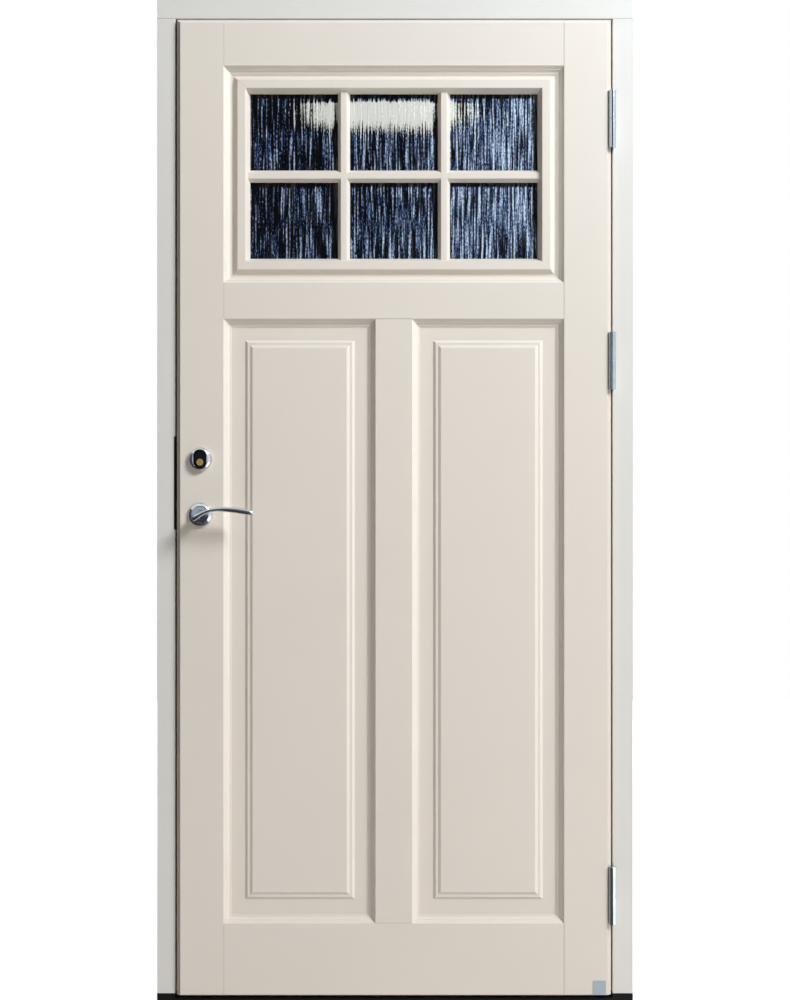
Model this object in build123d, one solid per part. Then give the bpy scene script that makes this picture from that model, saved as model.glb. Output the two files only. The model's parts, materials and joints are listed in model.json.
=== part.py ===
from build123d import *
from collections import namedtuple
from math import atan2, degrees
import os

# Panelled front door in its frame, opening outward. Millimetres, +Z up, outside faces -Y,
# origin at the middle of the underside of the threshold.

# Frame
frame_width = 990
frame_height = 2090
frame_depth = 115
lock_jamb_face = 38
hinge_jamb_face = 42.5
head_face = 42.5
stop_height = 14
frame_edge_round = 2
fixing_hole_radius = 7
fixing_height_shares = (0.11, 0.37, 0.63, 0.89)

# Threshold
threshold_height = 20.5
threshold_deck_back = 14
threshold_deck_front = 11
threshold_stop_height = 27
threshold_edge_chamfer = 3

# Leaf in the frame
leaf_gap = 4
leaf_bottom_gap = 6
leaf_proud = 12
leaf_thickness = 68
leaf_edge_chamfer = 8
leaf_bottom_chamfer = 2
gasket_gap = 5.5
gasket_width = 7
gasket_edge_chamfer = 1.5
gasket_barb_width = 3
gasket_barb_depth = 5

# Stiles and rails
stile_width = 98
top_rail_height = 97
glass_opening_height = 449.5
middle_rail_height = 75
bottom_rail_height = 149.5
mullion_width = 76.5

# Sticking moulding on stiles and rails
lip_width = 15
lip_depth = 14
lip_quirk_shares = ((0, 0), (0.06, 0.2), (0.19, 0.24), (0.29, 0.46), (0.46, 0.52))
lip_cove_mid_shares = (0.64, 0.78)
lip_nose_share = 0.88

# Raised panels
panel_play = 2
board_thickness = 12
field_margin = 28.5
field_bottom_margin = 32
first_step_run = 5
first_step_rise = 4.5
ledge_width = 5
second_step_run = 6
second_step_rise = 3.5

# Glazing
pane_thickness = 4
cavity_width = 6
glass_depth = 24
glass_cover = 14
spacer_inset = 3
spacer_width = 7
subframe_play = 2
setting_block_length = 100
setting_block_place_share = 0.5

# Glazing beads and bars
bead_margin = 4.5
bead_outer_run = 8.5
bead_front_width = 17
bead_inner_run = 8
bead_front_depth = 4
bead_inner_rise = 7
bead_toe = 1.5
bar_width = 26
bar_front_width = 12.5
bar_height = 11
inner_bar_height = 8

# Hinges
hinge_bottom_rise = 208
hinge_middle_drop = 708.5
hinge_top_drop = 207.5
knuckle_radius = 7.25
knuckle_length = 59
knuckle_chamfer = 0.5
hinge_washer_thickness = 2
hinge_washer_radius = 6.2
hinge_pin_radius = 4
hinge_pin_reach = 50
hinge_pin_top_play = 2
hinge_axis_stand_off = 1.5
hinge_plate_thickness = 2.5
hinge_plate_depth = 52

# Lock, its faceplate and strike
lock_backset = 50
lever_height_above_base = 1016
cylinder_rise = 115
faceplate_width = 22
faceplate_height = 235
faceplate_thickness = 3
faceplate_drop = 55
case_depth = 84
case_thickness = 18
case_wall = 1.6
case_drop = 30
case_height = 185
latch_rise = 20
latch_height = 18
latch_thickness = 11
latch_throw = 12
latch_head_length = 28
latch_tail_height = 10
latch_tail_end = 14
latch_nose_flat = 4
latch_slot_before = 8
latch_slot_after = 5.5
follower_radius = 9
follower_finger_reach = 22
follower_finger_width = 5
follower_finger_thickness = 4
bolt_height = 24
bolt_thickness = 11
bolt_throw = 20
bolt_length = 34
bolt_tail_height = 9
bolt_tail_rise = 9
bolt_notch_width = 10.5
bolt_tail_end = 12
cam_radius = 6
cam_reach = 16
cam_width = 4
cam_rest_angle = 45
strike_thickness = 3
strike_height = 194
strike_drop = 31
strike_back = 14
strike_hole_play = 1.5
strike_pocket_depth = 26

# Lever handles
spindle_width = 8
rose_radius = 25.5
rose_height = 9.5
rose_edge_run = 1.2
rose_edge_rise = 1.2
neck_radius = 8.5
lever_stand_off = 48
lever_depth = 16
lever_length = 111
lever_tip_top = 9
lever_tip_bottom = -0.8
lever_tip_bulge = 4
lever_crest_along = 66
lever_crest_top = 16.4
lever_crest_bottom = 5
lever_under_slope_share = 0.2
lever_root_top = (-12, -5)
lever_root_bottom = (-6, -14)
lever_root_bulge = 3
lever_edge_chamfer = 2.5
socket_depth = 34

# Cylinder and thumb-turn
ring_radius = 24.5
ring_rim_height = 6
ring_front_radius = 21.2
ring_height = 12
ring_edge_chamfer = 1
mouth_width = 26.5
mouth_height = 39
mouth_depth = 6
body_width = 21
body_height = 34
body_recess = 4
plug_radius = 7
plug_flange_height = 1.5
key_slot_width = 1.6
key_slot_height = 9
key_slot_depth = 8
tail_width = 3
tail_height = 7
knob_neck_radius = 7
knob_width = 11
knob_height = 36
knob_reach = 24
knob_edge_round = 3

# Fits
slide_clearance = 0.3
bore_clearance = 1
pin_clearance = 0.05
overrun = 1

# Places worked out from the sizes above
Opening = namedtuple("Opening", "left right bottom top")
half_width = frame_width / 2
front_y = -frame_depth / 2
back_y = frame_depth / 2
rebate_left = -half_width + lock_jamb_face
rebate_right = half_width - hinge_jamb_face
rebate_top = frame_height - head_face
stop_left = rebate_left + stop_height
stop_right = rebate_right - stop_height
stop_top = rebate_top - stop_height
leaf_left = rebate_left + leaf_gap
leaf_right = rebate_right - leaf_gap
leaf_top = rebate_top - leaf_gap
leaf_bottom = threshold_deck_back + leaf_bottom_gap
hinge_heights = (leaf_bottom + hinge_bottom_rise, leaf_top - hinge_middle_drop, leaf_top - hinge_top_drop)
leaf_front = front_y - leaf_proud
leaf_back = leaf_front + leaf_thickness
leaf_middle = (leaf_front + leaf_back) / 2
stop_y = leaf_back + gasket_gap
shoulder_left = leaf_left + stile_width
shoulder_right = leaf_right - stile_width
glass_top = leaf_top - top_rail_height
glass_bottom = glass_top - glass_opening_height
panel_top = glass_bottom - middle_rail_height
panel_bottom = leaf_bottom + bottom_rail_height
mullion_left = (shoulder_left + shoulder_right - mullion_width) / 2
mullion_right = mullion_left + mullion_width
glass_opening = Opening(shoulder_left, shoulder_right, glass_bottom, glass_top)
left_opening = Opening(shoulder_left, mullion_left, panel_bottom, panel_top)
right_opening = Opening(mullion_right, shoulder_right, panel_bottom, panel_top)
unit_thickness = 3 * pane_thickness + 2 * cavity_width
glass_front = leaf_front + glass_depth
glass_back = glass_front + unit_thickness
bead_width = lip_width + bead_margin + bead_outer_run + bead_front_width + bead_inner_run
glass_inset = bead_width - glass_cover
hinge_x = (leaf_right + rebate_right) / 2
hinge_y = leaf_front - hinge_axis_stand_off
lock_x = leaf_left + lock_backset
lever_z = lever_height_above_base
ring_z = lever_z + cylinder_rise
plug_z = ring_z - (body_height - body_width) / 2
latch_z = lever_z + latch_rise
bolt_z = plug_z
case_left = leaf_left + faceplate_thickness
case_right = leaf_left + case_depth
case_bottom = lever_z - case_drop
case_top = case_bottom + case_height
plate_bottom = lever_z - faceplate_drop
plate_top = plate_bottom + faceplate_height
strike_bottom = lever_z - strike_drop
strike_top = strike_bottom + strike_height


# Plain shapes
def block(x0, x1, y0, y1, z0, z1):
    return Pos((x0 + x1) / 2, (y0 + y1) / 2, (z0 + z1) / 2) * Box(x1 - x0, y1 - y0, z1 - z0)


def prism_x(points, x0, x1):
    plane = Plane(origin=(x0, 0, 0), x_dir=(0, 1, 0), z_dir=(1, 0, 0))
    return extrude(plane * Polygon(*points, align=None), amount=x1 - x0, dir=(1, 0, 0))


def prism_y(points, y0, y1):
    plane = Plane(origin=(0, y0, 0), x_dir=(1, 0, 0), z_dir=(0, -1, 0))
    return extrude(plane * Polygon(*points, align=None), amount=y1 - y0, dir=(0, 1, 0))


def prism_z(points, z0, z1):
    return extrude(Plane.XY.offset(z0) * Polygon(*points, align=None), amount=z1 - z0, dir=(0, 0, 1))


def rod_y(radius, x, z, y0, y1):
    plane = Plane(origin=(x, y0, z), x_dir=(1, 0, 0), z_dir=(0, 1, 0))
    return extrude(plane * Circle(radius), amount=y1 - y0)


def rod_x(radius, y, z, x0, x1):
    plane = Plane(origin=(x0, y, z), x_dir=(0, 1, 0), z_dir=(1, 0, 0))
    return extrude(plane * Circle(radius), amount=x1 - x0)


def rod_z(radius, x, y, z0, z1):
    return extrude(Pos(x, y, z0) * Circle(radius), amount=z1 - z0)


def oval_y(width, height, x, z, y0, y1):
    plane = Plane(origin=(x, y0, z), x_dir=(0, 0, 1), z_dir=(0, 1, 0))
    return extrude(plane * SlotOverall(height, width), amount=y1 - y0)


def turned_y(profile, x, z, y, outward):
    half = Polygon(*profile, align=None)
    plane = Plane(origin=(x, y, z), x_dir=(1, 0, 0), z_dir=(0, 0, outward))
    return revolve(plane * half, axis=Axis((x, y, z), (0, 1, 0)))


def inset(opening, amount):
    left, right, bottom, top = opening
    return Opening(left + amount, right - amount, bottom + amount, top - amount)


def slab(opening, y0, y1):
    return block(opening.left, opening.right, y0, y1, opening.bottom, opening.top)


def ring(opening, band, y0, y1):
    return slab(opening, y0, y1) - slab(inset(opening, band), y0 - overrun, y1 + overrun)


def frustum(opening, y, rise, run, outward):
    width = opening.right - opening.left
    height = opening.top - opening.bottom
    middle = ((opening.left + opening.right) / 2, y, (opening.bottom + opening.top) / 2)
    plane = Plane(origin=middle, x_dir=(1, 0, 0), z_dir=(0, outward, 0))
    return extrude(plane * Rectangle(width, height), amount=rise, taper=degrees(atan2(run, rise)))


# A moulding along one side of an opening, mitred at both ends
def mitred_stick(side, opening, profile, width):
    left, right, bottom, top = opening
    near = inset(opening, width)
    if side == "left":
        plane = Plane(origin=(left, 0, bottom), x_dir=(1, 0, 0), z_dir=(0, 0, 1))
        corners = (left, bottom), (near.left, near.bottom), (near.left, near.top), (left, top)
    elif side == "right":
        plane = Plane(origin=(right, 0, top), x_dir=(-1, 0, 0), z_dir=(0, 0, -1))
        corners = (right, bottom), (right, top), (near.right, near.top), (near.right, near.bottom)
    elif side == "bottom":
        plane = Plane(origin=(right, 0, bottom), x_dir=(0, 0, 1), z_dir=(-1, 0, 0))
        corners = (left, bottom), (right, bottom), (near.right, near.bottom), (near.left, near.bottom)
    else:
        plane = Plane(origin=(left, 0, top), x_dir=(0, 0, -1), z_dir=(1, 0, 0))
        corners = (left, top), (near.left, near.top), (near.right, near.top), (right, top)
    length = top - bottom if side in ("left", "right") else right - left
    stick = extrude(plane * profile, amount=length, dir=plane.z_dir)
    return stick & prism_y(corners, leaf_front - overrun, leaf_back + overrun)


# Sticking profile: two quirked steps, a cove and a short nose over the panel
def lip_profile(face_y, inward):
    points = [(u * lip_width, face_y + inward * v * lip_depth) for u, v in lip_quirk_shares]
    middle = (lip_cove_mid_shares[0] * lip_width, face_y + inward * lip_cove_mid_shares[1] * lip_depth)
    nose = (lip_width, face_y + inward * lip_nose_share * lip_depth)
    toe = (lip_width, face_y + inward * lip_depth)
    heel = (0, face_y + inward * lip_depth)
    steps = Polyline(*points)
    cove = ThreePointArc(points[-1], middle, nose)
    back = Polyline(nose, toe, heel, points[0])
    return make_face([steps, cove, back])


def with_lips(core, *sides):
    piece = core
    for side, opening in sides:
        piece += mitred_stick(side, opening, lip_profile(leaf_front, 1), lip_width)
        piece += mitred_stick(side, opening, lip_profile(leaf_back, -1), lip_width)
    return piece


# The whole leaf as one block with its outer edges bevelled
def leaf_envelope():
    plan = (
        (leaf_left + leaf_edge_chamfer, leaf_front),
        (leaf_right - leaf_edge_chamfer, leaf_front),
        (leaf_right, leaf_front + leaf_edge_chamfer),
        (leaf_right, leaf_back),
        (leaf_left, leaf_back),
        (leaf_left, leaf_front + leaf_edge_chamfer),
    )
    side = (
        (leaf_front, leaf_bottom + leaf_bottom_chamfer),
        (leaf_front + leaf_bottom_chamfer, leaf_bottom),
        (leaf_back, leaf_bottom),
        (leaf_back, leaf_top),
        (leaf_front + leaf_edge_chamfer, leaf_top),
        (leaf_front, leaf_top - leaf_edge_chamfer),
    )
    return prism_z(plan, leaf_bottom, leaf_top) & prism_x(side, leaf_left, leaf_right)


# Frame
def jamb(outer, rebate, stop):
    low, high = threshold_height, rebate_top
    section = Polygon(
        (outer, front_y), (rebate, front_y), (rebate, stop_y),
        (stop, stop_y), (stop, back_y), (outer, back_y),
        align=None,
    )
    arris = section.vertices().sort_by_distance((rebate, front_y, 0))[0]
    section = fillet(arris, frame_edge_round)
    piece = extrude(Pos(0, 0, low) * section, amount=high - low, dir=(0, 0, 1))
    fixing_y = (stop_y + back_y) / 2
    for share in fixing_height_shares:
        start = min(outer, stop) - overrun
        piece -= rod_x(fixing_hole_radius, fixing_y, share * frame_height, start, max(outer, stop) + overrun)
    return piece - gasket_barb()


def frame_head():
    section = Polygon(
        (front_y, rebate_top), (front_y, frame_height), (back_y, frame_height), (back_y, rebate_top),
        align=None,
    )
    arris = section.vertices().sort_by_distance((front_y, rebate_top, 0))[0]
    section = fillet(arris, frame_edge_round)
    plane = Plane(origin=(-half_width, 0, 0), x_dir=(0, 1, 0), z_dir=(1, 0, 0))
    piece = extrude(plane * section, amount=frame_width, dir=(1, 0, 0))
    piece += block(stop_left, stop_right, stop_y, back_y, stop_top, rebate_top)
    return piece - gasket_barb()


def threshold():
    blank = block(-half_width, half_width, front_y, back_y, 0, threshold_height)
    deck = (
        (front_y - overrun, threshold_deck_front),
        (stop_y, threshold_deck_back),
        (stop_y, threshold_height + overrun),
        (front_y - overrun, threshold_height + overrun),
    )
    blank -= prism_x(deck, rebate_left, rebate_right)
    ridge = (
        (stop_y, 0),
        (back_y, 0),
        (back_y, threshold_stop_height - threshold_edge_chamfer),
        (back_y - threshold_edge_chamfer, threshold_stop_height),
        (stop_y, threshold_stop_height),
    )
    return blank + prism_x(ridge, stop_left, stop_right) - gasket_barb()


def gasket_line():
    return Opening(
        (leaf_left + stop_left) / 2,
        (leaf_right + stop_right) / 2,
        (leaf_bottom + threshold_stop_height) / 2,
        (leaf_top + stop_top) / 2,
    )


def gasket_barb():
    outline = inset(gasket_line(), -gasket_barb_width / 2)
    return ring(outline, gasket_barb_width, stop_y, stop_y + gasket_barb_depth)


def frame_gasket():
    outline = inset(gasket_line(), -gasket_width / 2)
    bulb = ring(outline, gasket_width, leaf_back + slide_clearance, stop_y)
    bulb = chamfer(bulb.faces().sort_by(Axis.Y)[0].edges(), gasket_edge_chamfer)
    return bulb + gasket_barb()


# Raised panel board, its field stepped up twice from the margin
def raised_board(opening, margin_y, outward):
    base = slab(inset(opening, panel_play), *sorted((margin_y, margin_y - outward * board_thickness)))
    first = inset(opening, lip_width + field_margin)
    first = first._replace(bottom=opening.bottom + lip_width + field_bottom_margin)
    second = inset(first, first_step_run + ledge_width)
    base += frustum(first, margin_y, first_step_rise, first_step_run, outward)
    ledge_y = margin_y + outward * first_step_rise
    return base + frustum(second, ledge_y, second_step_rise, second_step_run, outward)


def panel_core(opening):
    front = leaf_front + lip_depth + board_thickness
    back = leaf_back - lip_depth - board_thickness
    return slab(inset(opening, panel_play), front, back)


# Glazing
def bead_profile(glass_y, flange_y, front):
    first = lip_width + bead_margin
    second = first + bead_outer_run
    third = second + bead_front_width
    toe_y = glass_y + bead_toe * (1 if front > glass_y else -1)
    return Polygon(
        (panel_play, glass_y), (panel_play, flange_y), (first, flange_y), (second, front), (third, front),
        (bead_width, toe_y), (bead_width, glass_y),
        align=None,
    )


def outer_bead(side):
    profile = bead_profile(glass_front, leaf_front + lip_depth, leaf_front + bead_front_depth)
    return mitred_stick(side, glass_opening, profile, bead_width)


def inner_bead(side):
    flange_y = leaf_back - lip_depth
    profile = bead_profile(glass_back, flange_y, flange_y + bead_inner_rise)
    return mitred_stick(side, glass_opening, profile, bead_width)


def pane(index):
    front = glass_front + index * (pane_thickness + cavity_width)
    return slab(inset(glass_opening, glass_inset), front, front + pane_thickness)


def spacer(index):
    front = glass_front + pane_thickness + index * (pane_thickness + cavity_width)
    return ring(inset(glass_opening, glass_inset + spacer_inset), spacer_width, front, front + cavity_width)


def glazing_subframe():
    return ring(glass_opening, glass_inset - subframe_play, glass_front, glass_back)


def setting_blocks():
    sill = glass_opening.bottom + glass_inset
    middle = (glass_opening.left + glass_opening.right) / 2
    apart = (glass_opening.right - glass_opening.left - bead_width) * setting_block_place_share / 2
    blocks = []
    for place in (middle - apart, middle + apart):
        start = place - setting_block_length / 2
        end = place + setting_block_length / 2
        blocks.append(block(start, end, glass_front, glass_back, sill - subframe_play, sill))
    return blocks


# Bars stand on the glass, tapered to the front and halved over one another where they cross
def bar_section(glass_y, height):
    half, front = bar_width / 2, bar_front_width / 2
    return (-half, glass_y), (half, glass_y), (front, glass_y + height), (-front, glass_y + height)


def glazing_bars(glass_y, height, beads):
    sight = inset(glass_opening, bead_width)
    reach = inset(sight, -bead_inner_run)
    light = (sight.right - sight.left - 2 * bar_width) / 3
    section = bar_section(glass_y, height)
    middle = (sight.bottom + sight.top) / 2
    uprights = []
    for count in (1, 2):
        x = sight.left + count * (light + bar_width) - bar_width / 2
        uprights.append(prism_z([(x + u, y) for u, y in section], reach.bottom, reach.top))
    cross = prism_x([(y, middle + u) for u, y in section], reach.left, reach.right)
    lap = slab(reach, *sorted((glass_y + height / 2, glass_y + height)))
    for bead in beads:
        cross -= bead
    for upright in uprights:
        cross -= upright & lap
    finished = []
    for upright in uprights:
        for bead in beads:
            upright -= bead
        finished.append(upright - cross)
    return finished + [cross]


# Hinges


def knuckle(low, high, free_end):
    rod = rod_z(knuckle_radius, hinge_x, hinge_y, low, high)
    rims = rod.edges().filter_by(GeomType.CIRCLE)
    return chamfer(rims.sort_by_distance((hinge_x, hinge_y, free_end))[0], knuckle_chamfer)


def hinge_parts(z):
    low, high = z - hinge_washer_thickness / 2, z + hinge_washer_thickness / 2
    foot, head = low - knuckle_length, high + knuckle_length
    end_y = hinge_y + hinge_plate_depth
    leaf_plate = block(leaf_right - hinge_plate_thickness, leaf_right, hinge_y, end_y, high, head)
    frame_plate = block(rebate_right, rebate_right + hinge_plate_thickness, hinge_y, end_y, foot, low)
    bore = hinge_pin_radius + pin_clearance
    bore_end = high + hinge_pin_reach + hinge_pin_top_play
    pin_foot = low - hinge_pin_reach
    leaf_half = knuckle(high, head, head) + leaf_plate - rod_z(bore, hinge_x, hinge_y, low, bore_end)
    frame_half = knuckle(foot, low, foot) + frame_plate - rod_z(bore, hinge_x, hinge_y, pin_foot, high)
    pin = rod_z(hinge_pin_radius, hinge_x, hinge_y, pin_foot, high + hinge_pin_reach)
    washer = rod_z(hinge_washer_radius, hinge_x, hinge_y, low, high)
    washer -= rod_z(bore, hinge_x, hinge_y, low, high)
    return leaf_half, frame_half, pin, washer


# Lock
def latch_opening(play, x0, x1):
    half_y, half_z = latch_thickness / 2 + play, latch_height / 2 + play
    return block(x0, x1, leaf_middle - half_y, leaf_middle + half_y, latch_z - half_z, latch_z + half_z)


def bolt_opening(play, x0, x1):
    half_y, half_z = bolt_thickness / 2 + play, bolt_height / 2 + play
    return block(x0, x1, leaf_middle - half_y, leaf_middle + half_y, bolt_z - half_z, bolt_z + half_z)


def case_block():
    half = case_thickness / 2
    return block(case_left, case_right, leaf_middle - half, leaf_middle + half, case_bottom, case_top)


def plate_block():
    half = faceplate_width / 2
    return block(leaf_left, case_left, leaf_middle - half, leaf_middle + half, plate_bottom, plate_top)


def lock_faceplate():
    plate = plate_block()
    plate -= latch_opening(slide_clearance, leaf_left - overrun, case_left + overrun)
    plate -= bolt_opening(slide_clearance, leaf_left - overrun, case_left + overrun)
    return plate


def lock_case():
    half = case_thickness / 2
    room = half - case_wall
    case = case_block()
    inside = block(
        case_left + case_wall, case_right - case_wall, leaf_middle - room, leaf_middle + room,
        case_bottom + case_wall, case_top - case_wall,
    )
    case -= inside
    case -= latch_opening(slide_clearance, case_left - overrun, case_left + case_wall + overrun)
    case -= bolt_opening(slide_clearance, case_left - overrun, case_left + case_wall + overrun)
    start, end = leaf_middle - half - overrun, leaf_middle + half + overrun
    case -= rod_y(follower_radius + slide_clearance, lock_x, lever_z, start, end)
    return case - rod_y(cam_radius + slide_clearance, lock_x, plug_z, start, end)


def lock_follower():
    half = case_thickness / 2
    hub = rod_y(follower_radius, lock_x, lever_z, leaf_middle - half, leaf_middle + half)
    reach = follower_finger_width / 2
    deep = follower_finger_thickness / 2
    top = lever_z + follower_finger_reach
    hub += block(lock_x - reach, lock_x + reach, leaf_middle - deep, leaf_middle + deep, lever_z, top)
    return hub - spindle_bar(slide_clearance, leaf_middle - half - overrun, leaf_middle + half + overrun)


def latch_bolt():
    tip = leaf_left - latch_throw
    end = tip + latch_head_length
    outer, inner = leaf_middle - latch_thickness / 2, leaf_middle + latch_thickness / 2
    nose = (
        (tip, outer), (tip, outer + latch_nose_flat), (leaf_left - slide_clearance, inner),
        (end, inner), (end, outer),
    )
    bolt = prism_z(nose, latch_z - latch_height / 2, latch_z + latch_height / 2)
    half = latch_tail_height / 2
    bolt += block(end, lock_x + latch_tail_end, outer, inner, latch_z - half, latch_z + half)
    deep = follower_finger_thickness / 2 + slide_clearance
    slot = block(
        lock_x - latch_slot_before, lock_x + latch_slot_after, leaf_middle - deep, leaf_middle + deep,
        latch_z - latch_height, latch_z + latch_height,
    )
    return bolt - slot


def dead_bolt():
    start = leaf_left
    end = start + bolt_length
    half_y, half_z = bolt_thickness / 2, bolt_height / 2
    bolt = block(start, end, leaf_middle - half_y, leaf_middle + half_y, bolt_z - half_z, bolt_z + half_z)
    low = plug_z + bolt_tail_rise
    middle = lock_x + bolt_throw / 2
    bolt += block(
        end - bolt_tail_height, middle + bolt_tail_end, leaf_middle - half_y, leaf_middle + half_y,
        low, low + bolt_tail_height,
    )
    half = bolt_notch_width / 2
    deep = cam_width / 2 + slide_clearance
    top = low + bolt_tail_height + overrun
    return bolt - block(middle - half, middle + half, leaf_middle - deep, leaf_middle + deep, plug_z, top)


def bolt_cam():
    half = case_thickness / 2
    hub = rod_y(cam_radius, lock_x, plug_z, leaf_middle - half, leaf_middle + half)
    deep = cam_width / 2
    finger = block(-deep, deep, leaf_middle - deep, leaf_middle + deep, 0, cam_reach)
    hub += Pos(lock_x, 0, plug_z) * Rot(0, cam_rest_angle, 0) * finger
    start, end = leaf_middle - half - overrun, leaf_middle + half + overrun
    return hub - tail_bar(slide_clearance, start, end)


def strike_block():
    back = leaf_middle + strike_back
    return block(rebate_left - strike_thickness, rebate_left, front_y, back, strike_bottom, strike_top)


def strike_pockets(x0, x1):
    return latch_opening(strike_hole_play, x0, x1), bolt_opening(strike_hole_play, x0, x1)


def strike_plate():
    plate = strike_block()
    for pocket in strike_pockets(rebate_left - strike_thickness - overrun, rebate_left + overrun):
        plate -= pocket
    return plate


# Handles and cylinder
def spindle_bar(play, y0, y1):
    half = spindle_width / 2 + play
    return block(lock_x - half, lock_x + half, y0, y1, lever_z - half, lever_z + half)


def tail_bar(play, y0, y1):
    half_x, half_z = tail_width / 2 + play, tail_height / 2 + play
    return block(lock_x - half_x, lock_x + half_x, y0, y1, plug_z - half_z, plug_z + half_z)


def rose(z, hole_radius, face_y, outward):
    front = face_y + outward * rose_height
    disc = rod_y(rose_radius, lock_x, z, *sorted((face_y, front)))
    rim = disc.edges().filter_by(GeomType.CIRCLE).sort_by_distance((lock_x, front, z))[0]
    disc = chamfer(rim, rose_edge_rise, rose_edge_run, reference=disc.faces().filter_by(GeomType.CYLINDER)[0])
    start, end = sorted((face_y - outward * overrun, front + outward * overrun))
    return disc - rod_y(hole_radius, lock_x, z, start, end)


def lever_arm():
    crest_top, crest_low = (lever_crest_along, lever_crest_top), (lever_crest_along, lever_crest_bottom)
    tip_top, tip_low = (lever_length, lever_tip_top), (lever_length, lever_tip_bottom)
    outline = make_face([
        TangentArc(crest_top, tip_top, tangent=(1, 0)),
        SagittaArc(tip_top, tip_low, -lever_tip_bulge),
        TangentArc(crest_low, tip_low, tangent=(1, -lever_under_slope_share)),
        TangentArc(crest_low, lever_root_bottom, tangent=(-1, lever_under_slope_share)),
        SagittaArc(lever_root_bottom, lever_root_top, -lever_root_bulge),
        TangentArc(crest_top, lever_root_top, tangent=(-1, 0)),
    ])
    front = leaf_front - lever_stand_off - lever_depth / 2
    plane = Plane(origin=(lock_x, front, lever_z), x_dir=(1, 0, 0), z_dir=(0, -1, 0))
    arm = extrude(plane * outline, amount=lever_depth, dir=(0, 1, 0))
    rims = arm.edges().group_by(Axis.Y)
    return chamfer(rims[0] + rims[-1], lever_edge_chamfer)


def outer_lever():
    start = leaf_front - lever_stand_off
    lever = lever_arm() + rod_y(neck_radius, lock_x, lever_z, start, leaf_front)
    return lever - spindle_bar(0, leaf_front - socket_depth, leaf_front + overrun)


def spindle():
    return spindle_bar(0, leaf_front - socket_depth, leaf_back + socket_depth)


def cylinder_ring():
    profile = (
        (0, 0), (ring_radius, 0), (ring_radius, ring_rim_height),
        (ring_front_radius, ring_height - ring_edge_chamfer),
        (ring_front_radius - ring_edge_chamfer, ring_height), (0, ring_height),
    )
    disc = turned_y(profile, lock_x, ring_z, leaf_front, -1)
    front = leaf_front - ring_height
    disc -= oval_y(mouth_width, mouth_height, lock_x, ring_z, front - overrun, front + mouth_depth)
    play = 2 * slide_clearance
    return disc - oval_y(body_width + play, body_height + play, lock_x, ring_z, front, leaf_front + overrun)


def cylinder_body():
    front = leaf_front - ring_height + body_recess
    back = leaf_middle - case_thickness / 2
    body = oval_y(body_width, body_height, lock_x, ring_z, front, back)
    return body - rod_y(plug_radius + pin_clearance, lock_x, plug_z, front - overrun, back + overrun)


def cylinder_plug():
    front = leaf_front - ring_height + body_recess - plug_flange_height
    back = leaf_middle - case_thickness / 2
    plug = rod_y(plug_radius, lock_x, plug_z, front, back)
    half_x, half_z = key_slot_width / 2, key_slot_height / 2
    slot_end = front + key_slot_depth
    plug -= block(
        lock_x - half_x, lock_x + half_x, front - overrun, slot_end, plug_z - half_z, plug_z + half_z
    )
    return plug + tail_bar(0, back - overrun, leaf_middle - slide_clearance)


def thumbturn_knob():
    base = leaf_back + rose_height
    neck = rod_y(knob_neck_radius, lock_x, plug_z, leaf_back, base + slide_clearance)
    grip = block(
        lock_x - knob_width / 2, lock_x + knob_width / 2, base + slide_clearance, base + knob_reach,
        plug_z - knob_height / 2, plug_z + knob_height / 2,
    )
    grip = fillet(grip.edges().filter_by(Axis.Y), knob_edge_round)
    return grip + neck + tail_bar(0, leaf_middle + slide_clearance, base)


# Leaf members with their mortises and holes
def lock_stile(envelope, inner_bores):
    core = block(leaf_left, shoulder_left, leaf_front, leaf_back, leaf_bottom, leaf_top) & envelope
    stile = with_lips(core, ("left", glass_opening), ("left", left_opening))
    stile -= case_block()
    stile -= plate_block()
    start, end = leaf_front - overrun, leaf_middle
    stile -= oval_y(body_width, body_height, lock_x, ring_z, start, end)
    for bore in inner_bores:
        stile -= bore
    return stile


def lock_bores():
    start, end = leaf_front - overrun, leaf_back + overrun
    lever = rod_y(follower_radius + bore_clearance, lock_x, lever_z, start, end)
    turn = rod_y(knob_neck_radius + bore_clearance, lock_x, plug_z, leaf_middle, end)
    return lever, turn


def hinge_stile(envelope, plates):
    core = block(shoulder_right, leaf_right, leaf_front, leaf_back, leaf_bottom, leaf_top) & envelope
    stile = with_lips(core, ("right", glass_opening), ("right", right_opening))
    for cut in plates:
        stile -= cut
    return stile


def rail(envelope, bottom, top, *sides):
    core = block(shoulder_left, shoulder_right, leaf_front, leaf_back, bottom, top) & envelope
    return with_lips(core, *sides)


def mullion():
    core = block(mullion_left, mullion_right, leaf_front, leaf_back, panel_bottom, panel_top)
    return with_lips(core, ("right", left_opening), ("left", right_opening))


def save(name, shape):
    pieces = shape if isinstance(shape, list) else [shape]
    solids = [solid for piece in pieces for solid in piece.solids()]
    whole = solids[0] if len(solids) == 1 else Compound(children=solids)
    whole.label = name
    export_step(whole, f"parts/{name}.step")


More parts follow.
